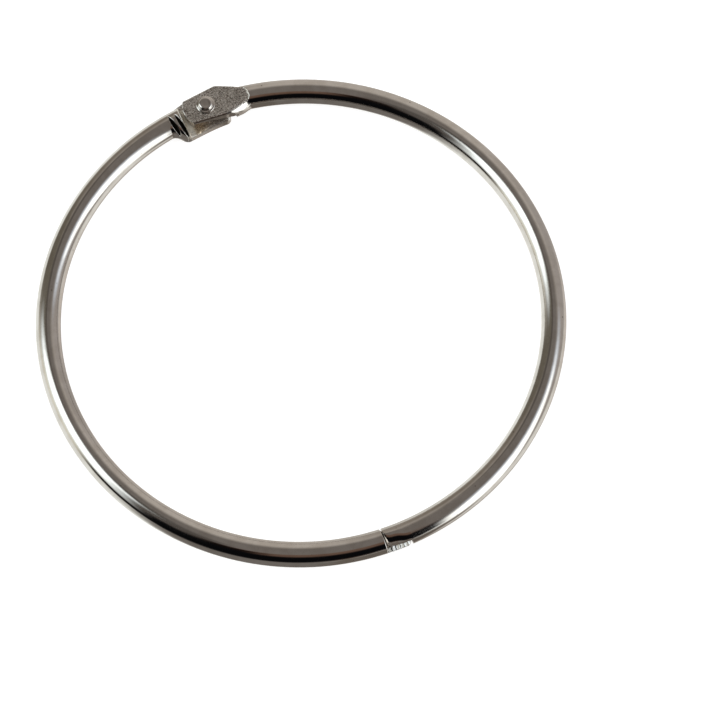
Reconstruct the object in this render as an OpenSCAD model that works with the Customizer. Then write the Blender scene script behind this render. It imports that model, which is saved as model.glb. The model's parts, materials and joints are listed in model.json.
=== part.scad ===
// Hinged binder ring: two alike steel half rings, riveted at one end and snapped
// together at the other. Millimetres. The ring's axis is Z through the origin, and
// the ring lies on z = 0. The rivet is at +Y, the clasp at -Y.

/* [Ring] */
// Inside diameter of the closed ring
inner_d = 76.2; // [50:0.1:120]
// Diameter of the steel rod
rod_d = 4; // [3.4:0.1:5.5]

/* [Hinge leaves] */
// Width of a leaf at its widest
leaf_w = 5.7; // [5:0.1:8]
// Width of a leaf at its free end
leaf_end_w = 4.4; // [3.8:0.1:6]
// Thickness of a leaf
leaf_t = 1.6; // [1.2:0.05:1.95]
// Distance from the rivet to the widest place of a leaf
leaf_wide_x = 2.4; // [1:0.1:3.5]
// Reach of a leaf's free end past the rivet
leaf_reach = 3.85; // [3:0.05:5]
// Length of a leaf's pressed flat, from the rivet towards the rod
flat_len = 7.05; // [6:0.05:10]
// Radius of the pressed flat's round end
flat_end_r = 1.9; // [1.4:0.1:3]
// Space between the two leaves
leaf_gap = 0.06; // [0.02:0.01:0.15]
// How far the lower leaf is spread towards the middle of the ring
spread_w = 3.6; // [3:0.05:4]
// How far that spread runs up the lower leaf towards the rod
spread_x = 4.6; // [3.5:0.1:5.5]

/* [Shoulders] */
// Space between a leaf's free end and the foot of the other half's shoulder
shoulder_gap = 0.2; // [0.1:0.05:0.5]
// Length of the shoulder's slope along the rod
shoulder_run = 0.55; // [0.2:0.05:1]
// Distance from the shoulder's foot to the first stamped groove
groove_start = 0.95; // [0.8:0.05:1.5]
// Distance between the two stamped grooves
groove_pitch = 1.05; // [0.8:0.05:1.6]
// Width of a stamped groove
groove_w = 0.6; // [0.3:0.05:0.8]
// Depth of a stamped groove
groove_depth = 0.5; // [0.2:0.05:0.7]
// Angle of the groove's blade, from the top of the rod round to its inner side
groove_tilt = 40; // [0:5:80]

/* [Rivet] */
// Diameter of the rivet's shank
shank_d = 1.8; // [1.2:0.1:2.4]
// Diameter of the button on the rivet's head
button_d = 2.3; // [1.8:0.1:3]
// Diameter of the thin flange under the button
flange_d = 3.1; // [2.6:0.1:4]
// Thickness of the flange
flange_t = 0.18; // [0.1:0.02:0.3]
// Height of the whole head
head_h = 0.62; // [0.4:0.02:1]
// Rounding of the button's edge
button_edge_r = 0.32; // [0.1:0.02:0.4]
// Diameter of the spread tail under the lower leaf
tail_d = 2.8; // [2.2:0.1:3.6]
// Height of the tail
tail_h = 0.34; // [0.2:0.02:0.38]
// Clearance round the shank in the leaf that turns on it
shank_play = 0.05; // [0.02:0.01:0.1]

/* [Clasp] */
// Length over which the two ends overlap
lap_len = 4; // [3:0.1:7]
// How far the overlap sits off the line through the rivet, towards the left half
lap_shift = 0.8; // [-1:0.1:1]
// Height of the lip across each tip
lip_h = 0.3; // [0.15:0.05:0.5]
// Width of the lip along the ring
lip_w = 0.55; // [0.4:0.05:1]
// Length of the lip's ramp
lip_ramp = 0.3; // [0.1:0.05:0.6]
// Clearance between the closed ends
lap_play = 0.1; // [0.05:0.01:0.2]
// Plan radius of each tip at its outer corner
tip_outer_r = 1.1; // [0.5:0.1:1.5]
// Plan radius of each tip at its inner corner
tip_inner_r = 0.6; // [0.3:0.1:1.5]
// How far the nose's outer side is set back at its tip
nose_setback = 0.85; // [0.3:0.05:1]
// Angle at which the nose's outer side widens again towards the rod
nose_taper = 7; // [0:1:12]

/* [Hidden] */
rod_r = rod_d / 2;
ring_r = inner_d / 2 + rod_r;
round_fn = 96;
ring_fn = 240;
nickel = [0.72, 0.70, 0.67];
// Spare length by which a cutter passes what it cuts
past = 2;
// Half width of the rod where the leaf's flat cuts it
flat_half_w = sqrt(rod_r * rod_r - leaf_t * leaf_t);
// Foot of the shoulder, from the rivet
shoulder_x = leaf_reach + shoulder_gap;
// Height of the leaf's top face once the ring lies on z = 0
leaf_top_z = rod_r + leaf_t;

// Point w outside the rod's centre line, at x along the tangent through the rivet
function beside(x, w) = [x, sqrt(ring_r * ring_r - x * x) + w];

// Direction from one plan point to another
function heading(a, b) = atan2(b[1] - a[1], b[0] - a[0]);

// Angle round the ring, clockwise from the rivet, of a place x from it
function ring_angle(x) = asin(x / ring_r);

// The half ring of round rod, from the clasp up to the leaf's widest place
module bent_rod() {
    spare = ring_angle(lap_len / 2 + past);
    rotate([0, 0, -90 - spare])
        rotate_extrude(angle = 180 + spare - ring_angle(leaf_wide_x), $fn = ring_fn)
            translate([ring_r, 0])
                circle(r = rod_r, $fn = round_fn);
}

// Plan of the leaf: a tapered plate whose free end is an arc about the rivet
module leaf_plan() {
    intersection() {
        polygon([
            beside(-leaf_reach, -leaf_end_w / 2),
            beside(leaf_wide_x, -leaf_w / 2),
            beside(flat_len, -rod_r),
            beside(flat_len, rod_r),
            beside(leaf_wide_x, leaf_w / 2),
            beside(-leaf_reach, leaf_end_w / 2)
        ]);
        union() {
            translate([0, ring_r])
                circle(r = leaf_reach, $fn = round_fn);
            translate([0, ring_r - leaf_w])
                square([flat_len + past, 2 * leaf_w]);
        }
    }
}

// Slanting cut from the flat's edge down to the rod's side; side is 1 outside, -1 inside
module taper_bevel(side) {
    wide = beside(leaf_wide_x, side * leaf_w / 2);
    narrow = beside(flat_len, side * flat_half_w);
    slant = atan2(rod_r - flat_half_w, leaf_t);
    translate([wide[0], wide[1], leaf_t])
        rotate([0, 0, heading(wide, narrow)])
            rotate([side * slant, 0, 0])
                translate([-past, side > 0 ? 0 : -leaf_w, -rod_d])
                    cube([flat_len + 2 * past, leaf_w, 2 * rod_d]);
}

// The spread leaf, above the middle plane
module leaf() {
    difference() {
        translate([0, 0, leaf_gap / 2])
            linear_extrude(leaf_t - leaf_gap / 2)
                leaf_plan();
        taper_bevel(1);
        taper_bevel(-1);
    }
}

// Steel that the press drove out at the lower leaf's inner side
module inner_spread() {
    end_x = sqrt(leaf_reach * leaf_reach - rod_r * rod_r);
    translate([0, 0, leaf_gap / 2])
        linear_extrude(leaf_t - leaf_gap / 2)
            polygon([
                beside(-end_x, -rod_r / 2),
                beside(-end_x, 0.4 - spread_w),
                beside(spread_x, -spread_w),
                beside(flat_len, -rod_r),
                beside(flat_len, -rod_r / 2)
            ]);
}

// Sloping flank beside the lower half's shoulder, out to the driven-out steel
module shoulder_flank() {
    difference() {
        intersection() {
            translate([0, 0, -rod_r])
                linear_extrude(rod_r + leaf_t)
                    polygon([
                        beside(spread_x - shoulder_run, -rod_r / 2),
                        beside(spread_x - shoulder_run, -spread_w),
                        beside(spread_x, -spread_w),
                        beside(flat_len, -rod_r),
                        beside(flat_len, -rod_r / 2)
                    ]);
            rotate([0, 0, -ring_angle(spread_x)])
                translate([-rod_d, ring_r, 0])
                    rotate([-groove_tilt, 0, 0])
                        translate([0, -2 * rod_d, -rod_r])
                            cube([3 * rod_d, 2 * rod_d, 3 * rod_d]);
        }
        leaf_seat();
        stamped_groove(shoulder_x + groove_start);
        stamped_groove(shoulder_x + groove_start + groove_pitch);
    }
}

// What the press took off the top of the rod, up to the flat's round end
module flat_cut() {
    translate([0, 0, leaf_t]) {
        translate([0, ring_r - leaf_w, 0])
            cube([flat_len - flat_end_r, 2 * leaf_w, rod_d]);
        translate([flat_len - flat_end_r, beside(flat_len, 0)[1], 0])
            cylinder(r = flat_end_r, h = rod_d, $fn = round_fn);
    }
}

// Room below the middle plane for the other half's leaf, ending at the shoulder's slope
module leaf_seat() {
    translate([0, ring_r + leaf_w, 0])
        rotate([90, 0, 0])
            linear_extrude(2 * leaf_w)
                polygon([
                    [0, leaf_gap / 2],
                    [shoulder_x, leaf_gap / 2],
                    [shoulder_x + shoulder_run, -rod_r],
                    [shoulder_x + shoulder_run, -rod_d],
                    [0, -rod_d]
                ]);
}

// One V groove, stamped across the lower inner side of the rod
module stamped_groove(x) {
    rotate([0, 0, -ring_angle(x)])
        translate([0, ring_r, 0])
            rotate([-groove_tilt, 0, 0])
                translate([0, rod_d, 0])
                    rotate([90, 0, 0])
                        linear_extrude(2 * rod_d)
                            polygon([
                                [0, groove_depth - rod_r],
                                [groove_w / 2, -rod_r],
                                [groove_w / 2, -rod_d],
                                [-groove_w / 2, -rod_d],
                                [-groove_w / 2, -rod_r]
                            ]);
}

// Side profile cut away at the clasp: below the nose, past its tip, and the catch
module lap_cut() {
    tip = lap_len / 2;
    face = lap_play / 2;
    translate([0, -ring_r + rod_d, 0])
        rotate([90, 0, 0])
            linear_extrude(2 * rod_d)
                polygon([
                    [-tip, rod_d],
                    [-tip, -lip_h],
                    [-tip + lip_w, -lip_h],
                    [-tip + lip_w + lip_ramp, face],
                    [tip - lip_w - lip_ramp - lap_play, face],
                    [tip - lip_w - lap_play, lip_h + lap_play],
                    [tip + lap_play, lip_h + lap_play],
                    [tip + lap_play, -rod_d],
                    [-tip - past - rod_d, -rod_d],
                    [-tip - past - rod_d, rod_d]
                ]);
}

// Rounds one corner of a tip of that half width, whose side widens at the taper angle;
// side is 1 outside, -1 inside
module tip_corner_cut(r, side, half_w, taper) {
    centre_w = half_w + r * tan(taper) - r / cos(taper);
    translate([r - lap_len / 2, -ring_r - side * centre_w, -rod_d])
        linear_extrude(2 * rod_d)
            difference() {
                translate([-r - past, side > 0 ? -r - past : 0])
                    square([r + past, r + past]);
                circle(r = r, $fn = round_fn);
            }
}

// Takes the nose's outer side back, over the length of the lap
module nose_side_cut() {
    translate([-lap_len / 2, -ring_r - rod_r + nose_setback, lap_play / 2])
        rotate([0, 0, -nose_taper])
            translate([-past, -rod_d, -rod_r])
                cube([past + lap_len / cos(nose_taper), rod_d, rod_d + rod_r]);
}

// One half ring about its own middle plane, leaf and nose uppermost, on the +X side.
// setback and taper say how much narrower than the rod its tip is at the outer side,
// and shift how far along the ring its lap sits from the line through the rivet.
module half_ring(hole_r, setback, taper, shift) {
    difference() {
        union() {
            difference() {
                bent_rod();
                leaf_seat();
                flat_cut();
            }
            leaf();
        }
        stamped_groove(shoulder_x + groove_start);
        stamped_groove(shoulder_x + groove_start + groove_pitch);
        rotate([0, 0, ring_angle(shift)]) {
            lap_cut();
            tip_corner_cut(tip_outer_r, 1, rod_r - setback, taper);
            tip_corner_cut(tip_inner_r, -1, rod_r, 0);
        }
        translate([0, ring_r, -rod_d])
            cylinder(r = hole_r, h = 2 * rod_d, $fn = round_fn);
    }
}

// The same half turned over, so that its leaf and tongue lie underneath, with its leaf
// spread wider at the inner side
module left_half() {
    color(nickel)
        translate([0, 0, rod_r])
            rotate([0, 180, 0])
                union() {
                    half_ring(shank_d / 2, 0, 0, lap_shift);
                    inner_spread();
                    shoulder_flank();
                }
}

// The half that swings: a running fit on the rivet, and a nose narrower than the tongue
module right_half() {
    color(nickel)
        translate([0, 0, rod_r])
            difference() {
                half_ring(shank_d / 2 + shank_play, nose_setback, nose_taper, -lap_shift);
                rotate([0, 0, ring_angle(-lap_shift)])
                    nose_side_cut();
            }
}

// Rivet: a round button on a thin flange above, a spread tail below
module hinge_rivet() {
    tail_z = rod_r - leaf_t - tail_h;
    flange_z = leaf_top_z + leaf_gap;
    button_r = button_d / 2;
    edge_z = flange_z + head_h - button_edge_r;
    color(nickel)
        translate([0, ring_r, 0])
            rotate_extrude($fn = round_fn)
                polygon(concat(
                    [
                        [0, tail_z],
                        [tail_d / 2 - tail_h / 2, tail_z],
                        [tail_d / 2, tail_z + tail_h / 2],
                        [tail_d / 2, tail_z + tail_h],
                        [shank_d / 2, tail_z + tail_h],
                        [shank_d / 2, flange_z],
                        [flange_d / 2, flange_z],
                        [flange_d / 2, flange_z + flange_t],
                        [button_r, flange_z + flange_t]
                    ],
                    [for (a = [0 : 15 : 90])
                        [button_r - button_edge_r * (1 - cos(a)), edge_z + button_edge_r * sin(a)]],
                    [[0, flange_z + head_h]]
                ));
}

left_half();
right_half();
hinge_rivet();
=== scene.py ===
import json
import math

import bmesh
import bpy
import numpy as np
from mathutils import Matrix, Vector


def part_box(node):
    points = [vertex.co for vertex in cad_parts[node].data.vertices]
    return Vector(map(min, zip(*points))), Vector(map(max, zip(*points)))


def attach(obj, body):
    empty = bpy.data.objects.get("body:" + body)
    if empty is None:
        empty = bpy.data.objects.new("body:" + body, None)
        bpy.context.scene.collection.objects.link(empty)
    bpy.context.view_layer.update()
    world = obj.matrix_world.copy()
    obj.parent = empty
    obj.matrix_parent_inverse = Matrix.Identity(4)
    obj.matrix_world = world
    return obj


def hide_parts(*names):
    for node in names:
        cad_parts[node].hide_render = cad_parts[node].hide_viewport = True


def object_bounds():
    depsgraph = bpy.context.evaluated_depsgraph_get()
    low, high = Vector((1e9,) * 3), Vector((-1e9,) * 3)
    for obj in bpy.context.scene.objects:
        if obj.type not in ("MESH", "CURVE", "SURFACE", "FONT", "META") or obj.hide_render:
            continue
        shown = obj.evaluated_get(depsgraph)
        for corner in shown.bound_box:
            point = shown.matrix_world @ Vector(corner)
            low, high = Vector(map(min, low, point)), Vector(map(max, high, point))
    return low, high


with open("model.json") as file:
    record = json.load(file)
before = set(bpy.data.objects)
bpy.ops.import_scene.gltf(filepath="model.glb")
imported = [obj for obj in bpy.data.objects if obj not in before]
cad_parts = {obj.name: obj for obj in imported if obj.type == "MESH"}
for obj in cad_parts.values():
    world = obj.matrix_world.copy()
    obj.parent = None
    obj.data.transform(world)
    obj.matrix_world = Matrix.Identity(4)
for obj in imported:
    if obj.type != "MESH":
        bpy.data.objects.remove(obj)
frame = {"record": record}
cad_low, cad_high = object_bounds()

# The rivet's place gives the ring's radius and the rod's, in millimetres
MM = 0.001
pivot = frame["record"]["behaviour"]["joints"][0]["pos_m"]
ring_r = pivot[1] / MM
rod_r = pivot[2] / MM

# Hinge leaf
leaf_end_w = 4.4
leaf_w = 5.7
leaf_t = 1.6
leaf_wide_x = 2.4
leaf_reach = 3.85
flat_len = 7.05
flat_end_r = 1.9
leaf_gap = 0.06
spread_w = 3.6
spread_x = 4.6
shoulder_x = 4.05
shoulder_run = 0.55
groove_xs = (5.0, 6.05)
groove_w = 0.72
groove_depth = 0.8
groove_tilt = math.radians(24)
groove_slant = 0.2
under_groove_depth = 0.45
under_groove_tilt = math.radians(10)

# Clasp
lap_tip = 2.0
lap_shift = 0.8
lip_h = 0.3
lip_w = 0.55
lip_ramp = 0.3
lap_play = 0.1
tip_outer_r = 1.1
tip_inner_r = 0.6
nose_setback = 0.85
nose_taper = math.radians(7)

# Every sharp edge is broken by this much
edge_break = 0.06
around = 192


def smooth(u):
    u = np.clip(u, 0, 1)
    return u * u * (3 - 2 * u)


def off_centre_line(x, y):
    """How far a plan point lies outside the rod's centre line."""
    return math.sqrt(x * x + y * y) - ring_r


def beside(x, w):
    return math.sqrt(ring_r * ring_r - x * x) + w


def leaf_side(x, side, spread=False):
    """The leaf's straight side in plan, closed round its free end by an arc about the rivet."""
    corner_x = -math.sqrt(leaf_reach * leaf_reach - rod_r * rod_r)
    if spread and side < 0 and x > corner_x:
        y = beside(x, 0.4 - spread_w - 0.4 * float(smooth((x - corner_x) / (spread_x - 0.4 - corner_x))))
        y += (spread_w - rod_r) * float(smooth((x - spread_x + 0.4) / (flat_len - spread_x + 0.4)))
        run = x - corner_x
        if run < 0.9:
            y += 0.9 - math.sqrt(0.9 ** 2 - (0.9 - run) ** 2)
        return off_centre_line(x, y)
    xs = [-leaf_reach, leaf_wide_x, flat_len]
    ys = [
        beside(-leaf_reach, side * leaf_end_w / 2),
        beside(leaf_wide_x, side * leaf_w / 2),
        beside(flat_len, side * rod_r),
    ]
    y = float(np.interp(x, xs, ys))
    if x < 0:
        arc = math.sqrt(max(leaf_reach * leaf_reach - x * x, 0.0004))
        y = min(y, ring_r + arc) if side > 0 else max(y, ring_r - arc)
    return off_centre_line(x, y)


def bevel_top(x, side):
    """Where the slanting facet beside the flat meets the leaf's top face."""
    flat_half_w = math.sqrt(rod_r * rod_r - leaf_t * leaf_t)
    xs = [leaf_wide_x, flat_len]
    ys = [beside(leaf_wide_x, side * leaf_w / 2), beside(flat_len, side * flat_half_w)]
    return off_centre_line(x, float(np.interp(x, xs, ys)))


def under_side(x, at_clasp):
    """Lowest height of the steel at x: over the other leaf, down the shoulder, over the lap."""
    if not at_clasp:
        foot = leaf_gap / 2
        return float(np.interp(x, [shoulder_x, shoulder_x + shoulder_run], [foot, -rod_r - 0.1]))
    face = lap_play / 2
    catch = lip_h + lap_play
    xs = [
        -lap_tip,
        -lap_tip + lip_w,
        -lap_tip + lip_w + lip_ramp,
        lap_tip - lip_w - lip_ramp - lap_play,
        lap_tip - lip_w - lap_play,
    ]
    low = float(np.interp(x, xs, [-lip_h, -lip_h, face, face, catch]))
    return low if x <= lap_tip + lap_play else -rod_r - 0.1


def tip_side(x, side, setback, taper):
    """Plan limit of the tip at the clasp, with its rounded corners."""
    if side > 0:
        limit = rod_r - setback + math.tan(taper) * (x + lap_tip)
        corner_r, lean = tip_outer_r, taper
        middle = rod_r - setback + corner_r * math.tan(taper) - corner_r / math.cos(taper)
    else:
        limit, corner_r, lean = rod_r, tip_inner_r, 0.0
        middle = rod_r - corner_r
    from_centre = (corner_r - lap_tip) - x
    if from_centre > corner_r * math.sin(lean):
        limit = middle + math.sqrt(max(corner_r * corner_r - from_centre * from_centre, 0.0))
    if side > 0 and setback > 0:
        limit += (rod_r + 0.3 - limit) * float(smooth((x - lap_tip + 0.05) / 0.3))
    return side * limit


rays = np.linspace(0, 2 * math.pi, 1441)[:-1] - math.pi / 2
ray_w, ray_z = np.cos(rays), np.sin(rays)


def reach(n_w, n_z, limit, middle):
    """Distance along each ray to the line n.p = limit."""
    run = n_w * ray_w + n_z * ray_z
    room = limit - (n_w * middle[0] + n_z * middle[1])
    return np.where(run > 1e-9, room / np.maximum(run, 1e-9), 1e9)


def round_reach(half_w, middle, shift=0.0):
    """Distance along each ray to the rod's round side, spread inwards to half_w and shifted inwards."""
    def hit(a, c):
        m = middle[0] + c
        square = (ray_w / a) ** 2 + (ray_z / rod_r) ** 2
        cross = m * ray_w / a ** 2 + middle[1] * ray_z / rod_r ** 2
        rest = (m / a) ** 2 + (middle[1] / rod_r) ** 2 - 1
        return (-cross + np.sqrt(np.maximum(cross * cross - square * rest, 0))) / square
    inner_side = hit(half_w, 0.0)
    outer_side = hit(rod_r, shift)
    return np.where(middle[0] + inner_side * ray_w < 0, inner_side, outer_side)


def nose_round(back, middle):
    """Distance along each ray to the rod's round side moved inwards, for the nose."""
    m = middle[0] + back
    cross = m * ray_w + middle[1] * ray_z
    return -cross + np.sqrt(np.maximum(cross * cross + rod_r * rod_r - m * m - middle[1] ** 2, 0))


def dressed_limit(x):
    """The tongue's dressed edge, filed in short leaning steps."""
    step = 0.65
    tooth = math.floor((x + lap_tip) / step)
    wide = 0.5 * float(smooth((tooth * step - 2.0) / 1.6))
    return 1.2 - wide + 0.26 * (x + lap_tip - (tooth + 0.5) * step)


def section(x, at_clasp, at_hinge, setback, taper, spread):
    """Outline of the steel across the rod at x: outward and up, with broken edges, its finishes, and painted shade in
    the grooves and at the clasp's gap.
    """
    if at_hinge:
        aside = off_centre_line(x, ring_r) * (1 - float(smooth((x + 1) / 3)))
        middle = (aside, 0.8 * (1 - float(smooth((x - 4.3) / 3.0))))
    elif at_clasp:
        share = 1 - float(smooth((x - 2.3) / 1.6))
        middle = (-0.35 * share, 0.95 * share)
    else:
        middle = (0.0, 0.0)
    along = middle[0] * ray_w + middle[1] * ray_z
    span = -along + np.sqrt(along * along + rod_r * rod_r - middle[0] ** 2 - middle[1] ** 2)
    if at_hinge and x < flat_len:
        outer, inner = leaf_side(x, 1), leaf_side(x, -1, spread)
        plate = np.minimum(reach(1, 0, outer, middle), reach(-1, 0, -inner, middle))
        plate = np.minimum(plate, reach(0, 1, leaf_t, middle))
        plate = np.minimum(plate, reach(0, -1, -leaf_gap / 2, middle))
        if x > leaf_wide_x:
            top_o, top_i = bevel_top(x, 1), bevel_top(x, -1)
            plate = np.minimum(plate, reach(1, 0.5, top_o + 0.5 * leaf_t, middle))
            if not spread:
                # the upper half's inner side is pressed upright beside its shoulder
                facet = reach(-1, 0.92, -top_i + 0.92 * leaf_t, middle)
                plate = np.minimum(plate, facet)
                upright = -inner + 0.22 * float(smooth((x - 2.9) / 1.1))
                slab = np.minimum(reach(-1, 0, upright, middle), reach(0, -1, 1.1, middle))
                slab = np.minimum(slab, reach(-1, -1, upright + 0.55, middle))
                slab = np.minimum(slab, np.minimum(facet, reach(1, 0, 0.0, middle)))
                plate = np.maximum(plate, slab)
        # the leaf's upper edges are struck off a little
        plate = np.minimum(plate, reach(-1, 1, -inner + leaf_t - 0.16, middle))
        plate = np.minimum(plate, reach(1, 1, outer + leaf_t - 0.12, middle))
        if spread:
            plate = np.minimum(plate, reach(-1, -1, -inner - leaf_gap / 2 - 0.14, middle))
        # beside the shoulder the whole rod is spread, and keeps a round side
        belly = max(rod_r, -inner)
        span = round_reach(belly, middle)
        begin = 4.7 if spread else 5.2
        settle = float(smooth((x - begin) / (flat_len - begin)))
        both = plate if x < leaf_wide_x else np.maximum(plate, span)
        span = both * (1 - settle) + span * settle
    if at_hinge or at_clasp:
        span = np.minimum(span, reach(0, -1, -under_side(x, at_clasp), middle))
    if at_clasp and x < lap_tip + 0.4:
        if setback == 0 and x > lap_tip + lap_play:
            pass
        else:
            outer_limit = tip_side(x, 1, setback, taper)
            span = np.minimum(span, reach(1, 0, outer_limit, middle))
            if setback > 0:
                plain = min(rod_r, rod_r - setback + math.tan(taper) * (x + lap_tip))
                back = (rod_r - plain) * (1 - float(smooth((x + 0.4) / 2.6)))
                back += 0.6 * max(plain - outer_limit, 0.0)
                span = np.minimum(span, np.where(ray_w > -0.2, nose_round(back, middle), 1e9))
            span = np.minimum(span, reach(-1, 0, -tip_side(x, -1, setback, taper), middle))
            if spread:
                # the tongue's outer edge, dressed off where the nose leaves it showing
                span = np.minimum(span, reach(1, -1.05, dressed_limit(x), middle))
    whole = span
    if at_hinge and x > shoulder_x:
        tilt, deepest = (groove_tilt, groove_depth) if spread else (under_groove_tilt, under_groove_depth)
        blade = (-math.sin(tilt), -math.cos(tilt))
        skin = math.hypot(max(rod_r, -leaf_side(x, -1, spread)) * blade[0], rod_r * blade[1])
        for groove_x in groove_xs:
            off = np.abs(x - groove_x - groove_slant * (middle[0] + whole * ray_w + 1))
            depth = deepest * np.maximum(0.0, 1 - off / (groove_w / 2))
            span = np.where(depth > 0, np.minimum(span, reach(*blade, skin - depth, middle)), span)
    # painted shade: how deep the grooves cut in, used to darken their colour in place of the shade inside them
    dark = np.clip((whole - span) / 0.16, 0, 1)
    w = middle[0] + span * ray_w
    z = middle[1] + span * ray_z
    if at_hinge:
        beyond = np.hypot(np.maximum(x - (flat_len - flat_end_r), 0), w) - flat_end_r
        rise = smooth(beyond / 0.16) if x > flat_len - flat_end_r else np.zeros_like(w)
        z = np.where(z > leaf_t, leaf_t + (z - leaf_t) * rise, z)
    # Even spacing, then the edges are broken by easing the outline along itself
    w2, z2 = np.append(w, w[0]), np.append(z, z[0])
    run = np.concatenate([[0], np.cumsum(np.hypot(np.diff(w2), np.diff(z2)))])
    count = 1200
    even = np.linspace(0, run[-1], count + 1)[:-1]
    we, ze = np.interp(even, run, w2), np.interp(even, run, z2)
    dark = np.interp(even, run, np.append(dark, dark[0]))
    step = run[-1] / count
    offsets = np.fft.fftfreq(count, 1 / count) * step
    broken = edge_break + 0.045 * (1 - float(smooth((x - 4.5) / 2.5))) if at_hinge else edge_break
    ease = np.exp(-0.5 * (offsets / broken) ** 2)
    ease /= ease.sum()
    ws = np.fft.ifft(np.fft.fft(we) * np.fft.fft(ease)).real
    zs = np.fft.ifft(np.fft.fft(ze) * np.fft.fft(ease)).real
    moved = np.hypot(ws - we, zs - ze)
    if at_clasp:
        end = x + lap_tip
        if end < 0.14:
            cut = 0.14 - math.sqrt(max(0.14 ** 2 - (0.14 - end) ** 2, 0))
            far = np.hypot(ws - middle[0], zs - middle[1])
            ws, zs = ws - cut * (ws - middle[0]) / far, zs - cut * (zs - middle[1]) / far
            moved = np.maximum(moved, 0.03)
        rim = x - lap_tip - lap_play
        if 0 < rim < 0.13:
            cut = 0.13 - math.sqrt(max(0.13 ** 2 - (0.13 - rim) ** 2, 0))
            cut = cut * smooth((lip_h + lap_play + 0.1 - zs) / 0.2)
            far = np.hypot(ws - middle[0], zs - middle[1])
            ws, zs = ws - cut * (ws - middle[0]) / far, zs - cut * (zs - middle[1]) / far
            moved = np.where(zs < lip_h, 0.03, moved)
    if at_hinge and x + leaf_reach < 0.14:
        end = x + leaf_reach
        cut = 0.14 - math.sqrt(max(0.14 ** 2 - (0.14 - end) ** 2, 0))
        zs = zs - cut * np.sign(zs - 0.8) * np.minimum(1, np.abs(zs - 0.8) / 0.5)
        moved = np.maximum(moved, 0.03)
    turned = np.unwrap(np.arctan2(zs - middle[1], ws - middle[0]))
    turned -= turned[0]
    # Along the leaf the points are evenly spaced; on the rod and at the clasp by angle
    by_angle = 1.0 if not at_hinge else float(smooth((x - 7.6) / 6.0))
    ticks = np.arange(around) / around
    spot = (1 - by_angle) * ticks * count
    spot = spot + by_angle * np.interp(ticks * 2 * math.pi, np.append(turned, 2 * math.pi), np.arange(count + 1))
    index = np.arange(count + 1)
    wk = np.interp(spot, index, np.append(ws, ws[0]))
    zk = np.interp(spot, index, np.append(zs, zs[0]))
    edge = np.clip((np.interp(spot, index, np.append(moved, moved[0])) - 0.006) / 0.018, 0, 1)
    pressed, warm, dressed, worn = (np.zeros_like(wk) for _ in range(4))
    if at_hinge:
        beyond = np.hypot(max(x - (flat_len - flat_end_r), 0), wk) - flat_end_r
        on_flat = (zk > leaf_t - 0.1) & ((beyond < 0.02) | (x < flat_len - flat_end_r)) & (x < flat_len)
        on_plate = x < shoulder_x + shoulder_run
        pressed = np.where(on_flat | on_plate, 1.0, 0.0)
        outer, inner = leaf_side(x, 1), leaf_side(x, -1, spread)
        if x < shoulder_x:
            # struck-off edges and the facet beside the flat stay bright
            struck = np.abs(zk - wk - (leaf_t - 0.16 - inner)) < 0.06
            struck |= np.abs(zk + wk - (leaf_t - 0.12 + outer)) < 0.05
            pressed = np.where(struck, 0.0, pressed)
            walls = (zk > 0.14) & (zk < leaf_t - 0.14)
            pressed = np.where(walls, 0.2 * pressed, pressed)
        if not spread:
            if x > leaf_wide_x:
                facet = np.abs(0.92 * zk - wk - (0.92 * leaf_t - bevel_top(x, -1))) < 0.05
                pressed = np.where(facet, 0.0, pressed)
                edge = np.where(facet, 0.0, edge)
        else:
            near = float(smooth((x - 2.9) / 0.7)) * (1 - float(smooth((x - 4.62) / 0.15)))
            worn = np.where((zk < 0.15) & (wk < 1.6), near, 0.0)
        if spread and x < shoulder_x:
            warm = np.where((zk < 0.12) & (wk < -1.0), math.exp(-((x - 2.2) / 1.4) ** 2), 0.0)
    painted_recess_shade = np.interp(spot, index, np.append(dark, dark[0]))
    if at_clasp and spread and x < lap_tip:
        dressed = np.where((wk - 1.05 * zk > dressed_limit(x) - 0.06) & (zk < 1.35), 1.0, 0.0)
        edge = edge * (1 - dressed)
    # painted shade: the nose's end beside the gap at the clasp is darkened, standing in for the shadowed gap below it
    if at_clasp and setback > 0:
        painted_recess_shade = np.where(wk > -0.7, 0.75 * (1 - float(smooth((x + lap_tip - 0.05) / 0.3))), painted_recess_shade)
    return wk, zk, {"edge": edge, "pressed": pressed, "painted_recess_shade": painted_recess_shade, "warm": warm, "dressed": dressed, "worn": worn}


def stations(shift_turn):
    """Places along one half, from the leaf's free end round to the tip at the clasp."""
    hinge = list(-leaf_reach + np.array([0.0005, 0.004, 0.012, 0.025, 0.045, 0.07, 0.1, 0.14, 0.19, 0.25, 0.33, 0.42, 0.52, 0.63]))
    hinge += list(-math.sqrt(leaf_reach ** 2 - rod_r ** 2) + np.array([-0.02, 0.0, 0.003, 0.02, 0.05, 0.09, 0.15, 0.22, 0.3]))
    hinge += list(np.arange(-2.85, 3.8, 0.16))
    hinge += list(np.arange(3.85, 7.5, 0.06))
    for groove_x in groove_xs:
        hinge += [groove_x - groove_w / 2, groove_x, groove_x + groove_w / 2]
    hinge += list(np.arange(7.55, 15.5, 0.5))
    hinge = sorted(set(round(float(x), 4) for x in hinge))
    wall = lap_tip + lap_play
    clasp = [-2 + d for d in (0.0005, 0.005, 0.015, 0.03, 0.05, 0.08, 0.11, 0.14)]
    clasp += list(np.arange(-1.8, wall - 0.02, 0.07))
    clasp += [wall, wall + 0.001, wall + 0.01, wall + 0.025, wall + 0.045, wall + 0.07, wall + 0.1, wall + 0.13]
    clasp += list(np.arange(wall + 0.2, 6.0, 0.25))
    clasp = sorted(set(round(float(x), 4) for x in clasp), reverse=True)
    start = math.asin(hinge[-1] / ring_r)
    stop = math.pi - math.asin(clasp[0] / ring_r) + shift_turn
    rod = list(np.linspace(start, stop, 84)[1:-1])
    return hinge, rod, clasp


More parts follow.
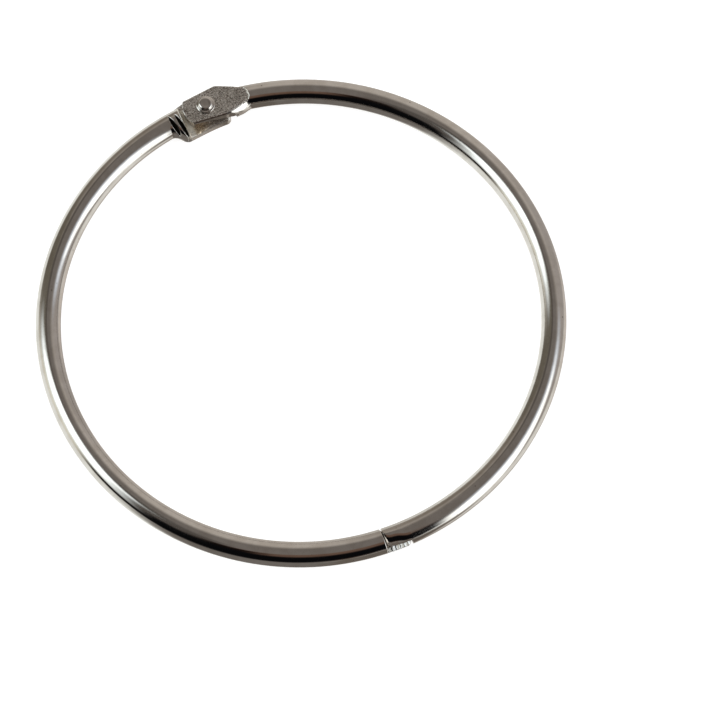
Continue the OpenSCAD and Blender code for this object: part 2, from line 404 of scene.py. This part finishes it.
def half_mesh(name, setback, taper, turned_over, spread):
    """One half ring, drawn out section by section from a plain strip of mesh."""
    shift_turn = math.asin(lap_shift / ring_r) * (-1 if turned_over else 1)
    hinge, rod, clasp = stations(shift_turn)
    rows = [("hinge", x) for x in hinge] + [("rod", a) for a in rod] + [("clasp", x) for x in clasp]
    bm = bmesh.new()
    bmesh.ops.create_grid(bm, x_segments=len(rows) - 1, y_segments=around, size=1)
    layers = {key: bm.verts.layers.float.new(key) for key in ("edge", "pressed", "painted_recess_shade", "warm", "dressed", "worn")}
    uv_layer = bm.loops.layers.uv.new("draw")
    shapes = []
    travelled = 0.0
    last = None
    for kind, value in rows:
        if kind == "rod":
            w, z, finish = section(0, False, False, setback, taper, spread)
            turn = np.full(around, value)
            centre = value
        else:
            w, z, finish = section(value, kind == "clasp", kind == "hinge", setback, taper, spread)
            turn = np.arcsin(value / (ring_r + w))
            centre = math.asin(value / ring_r)
            if kind == "hinge":
                squared = float(smooth((value - 7.6) / 7.0))
            else:
                turn, centre = math.pi - turn + shift_turn, math.pi - centre + shift_turn
                squared = float(smooth((value - 2.6) / 3.0))
            turn = turn * (1 - squared) + centre * squared
        x, y = (ring_r + w) * np.sin(turn), (ring_r + w) * np.cos(turn)
        if last is not None:
            travelled += abs(centre - last) * ring_r
        last = centre
        shapes.append((x, y, z, finish, travelled))
    nx = len(rows) - 1
    spots = {}
    for v in bm.verts:
        i = round((v.co.x + 1) / 2 * nx)
        k = round((v.co.y + 1) / 2 * around)
        x, y, z, finish, travelled = shapes[i]
        j = k % around
        v.co = Vector((x[j], y[j], z[j]))
        for key, layer in layers.items():
            v[layer] = float(finish[key][j])
        spots[v] = (travelled, k)
    for face in bm.faces:
        for loop in face.loops:
            travelled, k = spots[loop.vert]
            loop[uv_layer].uv = (travelled * 0.01, k / around)
    bmesh.ops.remove_doubles(bm, verts=bm.verts, dist=1e-6)
    bmesh.ops.holes_fill(bm, edges=[e for e in bm.edges if e.is_boundary], sides=0)
    bmesh.ops.recalc_face_normals(bm, faces=bm.faces)
    if turned_over:
        bmesh.ops.rotate(bm, verts=bm.verts, cent=(0, 0, 0), matrix=Matrix.Rotation(math.pi, 3, "Y"))
    bmesh.ops.translate(bm, verts=bm.verts, vec=(0, 0, rod_r))
    bmesh.ops.scale(bm, verts=bm.verts, vec=(MM, MM, MM))
    mesh = bpy.data.meshes.new(name)
    bm.to_mesh(mesh)
    bm.free()
    for polygon in mesh.polygons:
        polygon.use_smooth = True
    mesh.set_sharp_from_angle(angle=math.radians(50))
    piece = bpy.data.objects.new(name, mesh)
    bpy.context.scene.collection.objects.link(piece)
    return piece


def rivet_mesh(name):
    """The rivet, turned from its profile: spread tail, shank, thin flange and button."""
    low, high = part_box("hinge_rivet")
    bottom, top = low.z / MM, high.z / MM
    flange_z = top - 0.62
    profile = [
        (0.0, bottom + 0.05), (0.5, bottom + 0.03), (0.95, bottom), (1.2, bottom + 0.02), (1.34, bottom + 0.08),
        (1.4, bottom + 0.17), (1.4, bottom + 0.3), (1.37, bottom + 0.34), (0.9, bottom + 0.34),
        (0.9, flange_z), (1.46, flange_z), (1.53, flange_z + 0.03), (1.55, flange_z + 0.08), (1.52, flange_z + 0.14),
        (1.44, flange_z + 0.175), (1.25, flange_z + 0.19), (1.18, flange_z + 0.21), (1.155, flange_z + 0.26),
    ]
    for turn in range(0, 91, 9):
        a = math.radians(turn)
        profile.append((1.15 - 0.32 * (1 - math.cos(a)), top - 0.32 + 0.32 * math.sin(a)))
    profile += [(0.7, top - 0.002), (0.6, top - 0.012), (0.4, top - 0.016), (0.0, top - 0.018)]
    bm = bmesh.new()
    verts = [bm.verts.new((r, 0, z)) for r, z in profile]
    edges = [bm.edges.new(pair) for pair in zip(verts, verts[1:])]
    bmesh.ops.spin(
        bm, geom=verts + edges, cent=(0, 0, 0), axis=(0, 0, 1), dvec=(0, 0, 0),
        angle=2 * math.pi, steps=72, use_merge=True, use_duplicate=False,
    )
    bmesh.ops.remove_doubles(bm, verts=bm.verts, dist=1e-5)
    bmesh.ops.recalc_face_normals(bm, faces=bm.faces)
    bmesh.ops.translate(bm, verts=bm.verts, vec=(0, ring_r, 0))
    bmesh.ops.scale(bm, verts=bm.verts, vec=(MM, MM, MM))
    mesh = bpy.data.meshes.new(name)
    bm.to_mesh(mesh)
    bm.free()
    for polygon in mesh.polygons:
        polygon.use_smooth = True
    mesh.set_sharp_from_angle(angle=math.radians(50))
    piece = bpy.data.objects.new(name, mesh)
    bpy.context.scene.collection.objects.link(piece)
    return piece


# ---------------------------------------------------------------- materials
def add(tree, kind, **values):
    node = tree.nodes.new(kind)
    for key, value in values.items():
        setattr(node, key, value)
    return node


def math_node(tree, operation, a, b=None, clamp=False):
    node = add(tree, "ShaderNodeMath", operation=operation, use_clamp=clamp)
    for socket, value in zip(node.inputs, (a, b)):
        if value is None:
            continue
        if isinstance(value, (int, float)):
            socket.default_value = value
        else:
            tree.links.new(value, socket)
    return node.outputs[0]


def ramp(tree, value, low, high, to_low=0.0, to_high=1.0, soft=True):
    node = add(tree, "ShaderNodeMapRange", interpolation_type="SMOOTHSTEP" if soft else "LINEAR")
    tree.links.new(value, node.inputs["Value"])
    for key, number in (("From Min", low), ("From Max", high), ("To Min", to_low), ("To Max", to_high)):
        node.inputs[key].default_value = number
    return node.outputs["Result"]


def noise(tree, vector, scale, detail=2.0, roughness=0.5, stretch=None, distortion=0.0):
    if stretch is not None:
        mapping = add(tree, "ShaderNodeMapping")
        mapping.inputs["Scale"].default_value = stretch
        tree.links.new(vector, mapping.inputs["Vector"])
        vector = mapping.outputs["Vector"]
    node = add(tree, "ShaderNodeTexNoise")
    tree.links.new(vector, node.inputs["Vector"])
    node.inputs["Scale"].default_value = scale
    node.inputs["Detail"].default_value = detail
    node.inputs["Roughness"].default_value = roughness
    node.inputs["Distortion"].default_value = distortion
    return node.outputs["Fac"]


def group(name, inputs, outputs):
    tree = bpy.data.node_groups.new(name, "ShaderNodeTree")
    for label, kind, default in inputs:
        socket = tree.interface.new_socket(name=label, in_out="INPUT", socket_type=kind)
        if default is not None:
            socket.default_value = default
    for label, kind in outputs:
        tree.interface.new_socket(name=label, in_out="OUTPUT", socket_type=kind)
    return tree, add(tree, "NodeGroupInput"), add(tree, "NodeGroupOutput")


def plating_group():
    """Bright plate: fine specks, faint draw lines along the rod, slow waviness."""
    tree, source, sink = group(
        "plating",
        [("Object", "NodeSocketVector", None), ("Draw", "NodeSocketVector", None)],
        [("Height", "NodeSocketFloat"), ("Cloud", "NodeSocketFloat"), ("Speck", "NodeSocketFloat")],
    )
    vector, draw = source.outputs["Object"], source.outputs["Draw"]
    wave = noise(tree, vector, 260, 1.0)
    lines = noise(tree, draw, 1.0, 3.0, 0.6, stretch=(14, 60, 1))
    grain = noise(tree, vector, 5200, 2.0, 0.6)
    cells = add(tree, "ShaderNodeTexVoronoi", feature="F1")
    cells.inputs["Scale"].default_value = 900
    tree.links.new(vector, cells.inputs["Vector"])
    chance = noise(tree, vector, 700, 0.0)
    speck = math_node(tree, "MULTIPLY", ramp(tree, cells.outputs["Distance"], 0.16, 0.05), ramp(tree, chance, 0.6, 0.72))
    height = math_node(tree, "MULTIPLY", wave, 0.9)
    height = math_node(tree, "ADD", height, math_node(tree, "MULTIPLY", lines, 0.28))
    height = math_node(tree, "ADD", height, math_node(tree, "MULTIPLY", grain, 0.035))
    height = math_node(tree, "ADD", height, math_node(tree, "MULTIPLY", speck, -0.5))
    tree.links.new(height, sink.inputs["Height"])
    tree.links.new(noise(tree, vector, 420, 3.0, 0.6), sink.inputs["Cloud"])
    tree.links.new(speck, sink.inputs["Speck"])
    return tree


def pressed_group():
    """Satin face left by the press: short mottled grain with faint streaks along the leaf."""
    tree, source, sink = group(
        "pressed_grain",
        [("Object", "NodeSocketVector", None)],
        [("Height", "NodeSocketFloat"), ("Mottle", "NodeSocketFloat"), ("Streak", "NodeSocketFloat")],
    )
    vector = source.outputs["Object"]
    worm = noise(tree, vector, 7000, 2.0, 0.6, stretch=(0.5, 1.0, 0.6), distortion=0.5)
    fine = noise(tree, vector, 7800, 1.0, 0.5)
    streak = noise(tree, vector, 2300, 1.0, 0.5, stretch=(0.12, 1.0, 1.0))
    height = math_node(tree, "ADD", math_node(tree, "MULTIPLY", worm, 1.0), math_node(tree, "MULTIPLY", fine, 0.4))
    height = math_node(tree, "ADD", height, math_node(tree, "MULTIPLY", streak, 0.5))
    tree.links.new(height, sink.inputs["Height"])
    patch = noise(tree, vector, 900, 2.0, 0.5)
    mottle = math_node(tree, "ADD", math_node(tree, "MULTIPLY", worm, 0.82), math_node(tree, "MULTIPLY", patch, 0.18))
    tree.links.new(mottle, sink.inputs["Mottle"])
    tree.links.new(noise(tree, vector, 2600, 2.0, 0.6, stretch=(1.0, 0.12, 0.12)), sink.inputs["Streak"])
    return tree


def mix_value(tree, factor, a, b):
    node = add(tree, "ShaderNodeMix", data_type="FLOAT")
    tree.links.new(factor, node.inputs[0])
    for socket, value in ((node.inputs[2], a), (node.inputs[3], b)):
        if isinstance(value, (int, float)):
            socket.default_value = value
        else:
            tree.links.new(value, socket)
    return node.outputs[0]


def mix_colour(tree, factor, a, b):
    node = add(tree, "ShaderNodeMix", data_type="RGBA")
    tree.links.new(factor, node.inputs[0])
    for socket, value in ((node.inputs[6], a), (node.inputs[7], b)):
        if isinstance(value, tuple):
            socket.default_value = value
        else:
            tree.links.new(value, socket)
    return node.outputs[2]


def nickel_material(name, plating, grain, with_leaf):
    material = bpy.data.materials.new(name)
    material.use_nodes = True
    tree = material.node_tree
    tree.nodes.clear()
    out = add(tree, "ShaderNodeOutputMaterial")
    shader = add(tree, "ShaderNodeBsdfPrincipled")
    tree.links.new(shader.outputs["BSDF"], out.inputs["Surface"])
    shader.inputs["Metallic"].default_value = 1.0
    place = add(tree, "ShaderNodeTexCoord").outputs["Object"]
    plate = add(tree, "ShaderNodeGroup", node_tree=plating)
    tree.links.new(place, plate.inputs["Object"])
    bright = (0.675, 0.64, 0.60, 1)
    dull = (0.60, 0.56, 0.515, 1)
    colour = mix_colour(tree, ramp(tree, plate.outputs["Cloud"], 0.35, 0.68), bright, dull)
    colour = mix_colour(tree, plate.outputs["Speck"], colour, (0.30, 0.27, 0.24, 1))
    rough = ramp(tree, plate.outputs["Cloud"], 0.3, 0.7, 0.07, 0.13)
    bump = add(tree, "ShaderNodeBump")
    bump.inputs["Strength"].default_value = 1.0
    bump.inputs["Distance"].default_value = 0.000006
    tree.links.new(plate.outputs["Height"], bump.inputs["Height"])
    if with_leaf:
        draw = add(tree, "ShaderNodeUVMap", uv_map="draw")
        tree.links.new(draw.outputs["UV"], plate.inputs["Draw"])
        pressed = add(tree, "ShaderNodeAttribute", attribute_name="pressed").outputs["Fac"]
        edge = add(tree, "ShaderNodeAttribute", attribute_name="edge").outputs["Fac"]
        leaf = add(tree, "ShaderNodeGroup", node_tree=grain)
        tree.links.new(place, leaf.inputs["Object"])
        mask = math_node(tree, "MULTIPLY", pressed, math_node(tree, "SUBTRACT", 1.0, math_node(tree, "MULTIPLY", edge, 0.9)), clamp=True)
        satin = mix_colour(tree, ramp(tree, leaf.outputs["Mottle"], 0.38, 0.62), (0.25, 0.225, 0.2, 1), (0.80, 0.75, 0.69, 1))
        colour = mix_colour(tree, mask, colour, satin)
        rough = mix_value(tree, mask, rough, ramp(tree, leaf.outputs["Mottle"], 0.4, 0.6, 0.24, 0.36))
        warm = add(tree, "ShaderNodeAttribute", attribute_name="warm").outputs["Fac"]
        colour = mix_colour(tree, math_node(tree, "MULTIPLY", warm, 0.7), colour, (0.95, 0.76, 0.5, 1))
        dressed = add(tree, "ShaderNodeAttribute", attribute_name="dressed").outputs["Fac"]
        worn = add(tree, "ShaderNodeAttribute", attribute_name="worn").outputs["Fac"]
        worn = math_node(tree, "MULTIPLY", worn, ramp(tree, leaf.outputs["Mottle"], 0.3, 0.55, 0.45, 1.0))
        colour = mix_colour(tree, worn, colour, (1.0, 0.95, 0.86, 1))
        rough = mix_value(tree, worn, rough, 0.55)
        filed = mix_colour(tree, ramp(tree, leaf.outputs["Streak"], 0.36, 0.6), (0.36, 0.33, 0.28, 1), (0.74, 0.745, 0.74, 1))
        colour = mix_colour(tree, dressed, colour, filed)
        rough = mix_value(tree, dressed, rough, 0.38)
        second = add(tree, "ShaderNodeBump")
        second.inputs["Strength"].default_value = 1.0
        second.inputs["Distance"].default_value = 0.00005
        tree.links.new(math_node(tree, "MULTIPLY", leaf.outputs["Height"], mask), second.inputs["Height"])
        tree.links.new(bump.outputs["Normal"], second.inputs["Normal"])
        bump = second
        # painted shade: a near-black colour where the grooves cut in and at the nose's end by the clasp's gap
        painted_recess_shade = add(tree, "ShaderNodeAttribute", attribute_name="painted_recess_shade").outputs["Fac"]
        colour = mix_colour(tree, painted_recess_shade, colour, (0.10, 0.085, 0.07, 1))
        rough = mix_value(tree, painted_recess_shade, rough, 0.4)
    else:
        tree.links.new(place, plate.inputs["Draw"])
    tree.links.new(colour, shader.inputs["Base Color"])
    tree.links.new(rough, shader.inputs["Roughness"])
    tree.links.new(bump.outputs["Normal"], shader.inputs["Normal"])
    return material


plating = plating_group()
grain = pressed_group()
ring_nickel = nickel_material("nickel_plate", plating, grain, True)
rivet_nickel = nickel_material("rivet_plate", plating, grain, False)

left = half_mesh("left_half_ring", 0.0, 0.0, True, True)
right = half_mesh("right_half_ring", nose_setback, nose_taper, False, False)
rivet = rivet_mesh("rivet")
for piece, node, body, slot, material in (
    (left, "left_half", "fixed_half", "nickel_plate", ring_nickel),
    (right, "right_half", "swinging_half", "nickel_plate", ring_nickel),
    (rivet, "hinge_rivet", "fixed_half", "rivet_plate", rivet_nickel),
):
    piece.data.materials.append(material)
    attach(piece, body)
    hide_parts(node)

# ---------------------------------------------------------------- floor and light
middle = (cad_low + cad_high) / 2
bm = bmesh.new()
bmesh.ops.create_grid(bm, x_segments=1, y_segments=1, size=3.0)
floor_mesh = bpy.data.meshes.new("floor")
bm.to_mesh(floor_mesh)
bm.free()
floor = bpy.data.objects.new("floor", floor_mesh)
floor.location = (middle.x, middle.y, cad_low.z - 0.00002)
bpy.context.scene.collection.objects.link(floor)
paper = bpy.data.materials.new("pale_paper")
paper.use_nodes = True
paper_shader = paper.node_tree.nodes["Principled BSDF"]
paper_shader.inputs["Base Color"].default_value = (0.45, 0.45, 0.45, 1)
paper_shader.inputs["Emission Color"].default_value = (1.0, 1.0, 1.0, 1)
paper_shader.inputs["Emission Strength"].default_value = 0.86
paper_shader.inputs["Roughness"].default_value = 1.0
paper_shader.inputs["Specular IOR Level"].default_value = 0.0
floor.data.materials.append(paper)
floor.visible_glossy = False


def studio():
    """The studio seen in the plating, by compass turn and height: two soft windows, a dark side, grey walls."""
    world = bpy.data.worlds.new("studio")
    bpy.context.scene.world = world
    world.use_nodes = True
    tree = world.node_tree
    tree.nodes.clear()
    direction = add(tree, "ShaderNodeTexCoord").outputs["Generated"]
    split = add(tree, "ShaderNodeSeparateXYZ")
    tree.links.new(direction, split.inputs[0])
    x, y, z = split.outputs
    turn = math_node(tree, "MULTIPLY", math_node(tree, "ARCTAN2", x, math_node(tree, "MULTIPLY", y, -1.0)), 180 / math.pi)
    height = math_node(tree, "MULTIPLY", math_node(tree, "ARCSINE", z), 180 / math.pi)

    def patch(colour, centre, half_w, soft_w, low, soft_low, high, soft_high, lean=0.0):
        """A soft-edged area of the studio, leaning sideways as it rises."""
        away = math_node(tree, "SUBTRACT", turn, centre)
        if lean:
            away = math_node(tree, "SUBTRACT", away, math_node(tree, "MULTIPLY", height, lean))
        away = math_node(tree, "SUBTRACT", math_node(tree, "WRAP", away, 180.0), 0.0) if False else away
        wrap = add(tree, "ShaderNodeMath", operation="WRAP")
        tree.links.new(away, wrap.inputs[0])
        wrap.inputs[1].default_value = 180.0
        wrap.inputs[2].default_value = -180.0
        away = math_node(tree, "ABSOLUTE", wrap.outputs[0])
        mask = ramp(tree, away, half_w + soft_w / 2, half_w - soft_w / 2)
        mask = math_node(tree, "MULTIPLY", mask, ramp(tree, height, low - soft_low / 2, low + soft_low / 2))
        mask = math_node(tree, "MULTIPLY", mask, ramp(tree, height, high + soft_high / 2, high - soft_high / 2))
        return colour, mask

    def srgb(r, g, b, k=1.0):
        """Radiance whose mirror image in the plate has this display colour."""
        plate = (0.66, 0.625, 0.585)
        lin = [((c / 255 + 0.055) / 1.055) ** 2.4 if c > 10 else c / 255 / 12.92 for c in (r, g, b)]
        return tuple(k * v / p for v, p in zip(lin, plate)) + (1.0,)

    light = srgb(104, 97, 91)
    base = add(tree, "ShaderNodeRGB")
    base.outputs[0].default_value = light
    colour = base.outputs[0]
    for item, mask in (
        # grey walls, from the back round to the right, and the darker ones beside the windows
        patch(srgb(166, 157, 147), 146, 46, 44, -95, 10, 50, 30),
        patch(srgb(146, 138, 131), 90, 34, 26, -95, 10, 40, 30),
        patch(srgb(112, 103, 93), -170, 22, 20, -95, 10, 44, 44),
        patch(srgb(78, 72, 66), -172, 16, 14, 50, 12, 66, 8),
        patch(srgb(94, 87, 76), -152, 13, 14, -10, 14, 60, 10),
        patch(srgb(170, 160, 148), -176, 14, 30, -95, 10, 2, 26),
        patch(srgb(76, 71, 66), -110, 40, 24, 64, 8, 77, 8),
        patch(srgb(74, 68, 63), -78, 18, 16, -5, 20, 70, 12),
        # the table, brighter towards the back left, darker in front
        patch(srgb(216, 214, 206), -132, 55, 34, -95, 10, -3, 14),
        patch(srgb(228, 222, 214), -160, 30, 26, -95, 10, -50, 24),
        patch(srgb(104, 98, 92), -28, 42, 36, -95, 10, -10, 14),
        patch(srgb(206, 201, 192), 58, 32, 26, -95, 10, -12, 18),
        patch(srgb(188, 178, 168), 92, 14, 22, -95, 10, -20, 14),
        patch(srgb(150, 141, 131), 50, 34, 20, -95, 10, -58, 14),
        patch(srgb(112, 102, 92), 20, 14, 16, -38, 12, -20, 12),
        # soft window at the front right
        patch(srgb(196, 200, 206), 40, 30, 20, 20, 20, 50, 18, lean=0.6),
        patch(srgb(255, 254, 248, 1.45), 27, 25, 18, -13, 22, 38, 22, lean=0.85),
        # dark side of the room, behind the camera
        patch(srgb(96, 88, 80), 4, 18, 8, -95, 10, -12, 12),
        patch(srgb(92, 72, 60), -20, 38, 20, 34, 10, 66, 8),
        patch(srgb(16, 10, 8), -52, 13, 14, 30, 10, 64, 10),
        patch(srgb(8, 8, 9), -27, 49, 9, -7, 12, 47, 14),
        patch(srgb(58, 40, 26), 0, 14, 10, -12, 8, -4, 8),
        # soft window at the back left
        patch(srgb(208, 203, 188), -112, 22, 26, -8, 16, 20, 26),
        patch(srgb(250, 255, 252, 1.5), -100, 24, 22, 22, 30, 64, 12, lean=-0.36),
        patch(srgb(16, 14, 13), -84, 13, 12, -5, 10, 16, 10),
    ):
        mix = add(tree, "ShaderNodeMix", data_type="RGBA")
        tree.links.new(mask, mix.inputs[0])
        tree.links.new(colour, mix.inputs[6])
        mix.inputs[7].default_value = item
        colour = mix.outputs[2]
    background = add(tree, "ShaderNodeBackground")
    tree.links.new(colour, background.inputs["Color"])
    out = add(tree, "ShaderNodeOutputWorld")
    tree.links.new(background.outputs[0], out.inputs["Surface"])


studio()


def soft_light(name, offset, size, watts):
    """A large area light for the floor, kept out of the plate's reflections."""
    data = bpy.data.lights.new(name, "AREA")
    data.shape = "DISK"
    data.size = size
    data.energy = watts
    lamp = bpy.data.objects.new(name, data)
    lamp.location = middle + Vector(offset)
    lamp.rotation_mode = "QUATERNION"
    lamp.rotation_quaternion = (-Vector(offset)).to_track_quat("-Z", "Y")
    lamp.visible_glossy = False
    bpy.context.scene.collection.objects.link(lamp)
    return lamp


soft_light("table_light", (-0.1, 0.15, 1.2), 3.0, 12)


def camera():
    """The camera, aimed from the ring's own middle."""
    turn, rise, roll = math.radians(-22.0), math.radians(66.96), math.radians(-1.11)
    back = Vector((math.sin(turn) * math.cos(rise), -math.cos(turn) * math.cos(rise), math.sin(rise)))
    right_hand = Vector((0, 0, 1)).cross(back).normalized()
    up_hand = back.cross(right_hand)
    side = right_hand * math.cos(roll) + up_hand * math.sin(roll)
    top = up_hand * math.cos(roll) - right_hand * math.sin(roll)
    data = bpy.data.cameras.new("camera")
    data.sensor_width = 36
    data.lens = 178.04
    data.clip_start, data.clip_end = 0.02, 10
    cam = bpy.data.objects.new("camera", data)
    aim = Vector((5.69 * MM, -10.56 * MM, rod_r * MM))
    turn_matrix = Matrix((side, top, back)).transposed()
    cam.matrix_world = Matrix.Translation(aim + back * 0.562) @ turn_matrix.to_4x4()
    bpy.context.scene.collection.objects.link(cam)
    bpy.context.scene.camera = cam


camera()
bpy.context.scene.view_settings.view_transform = "Standard"
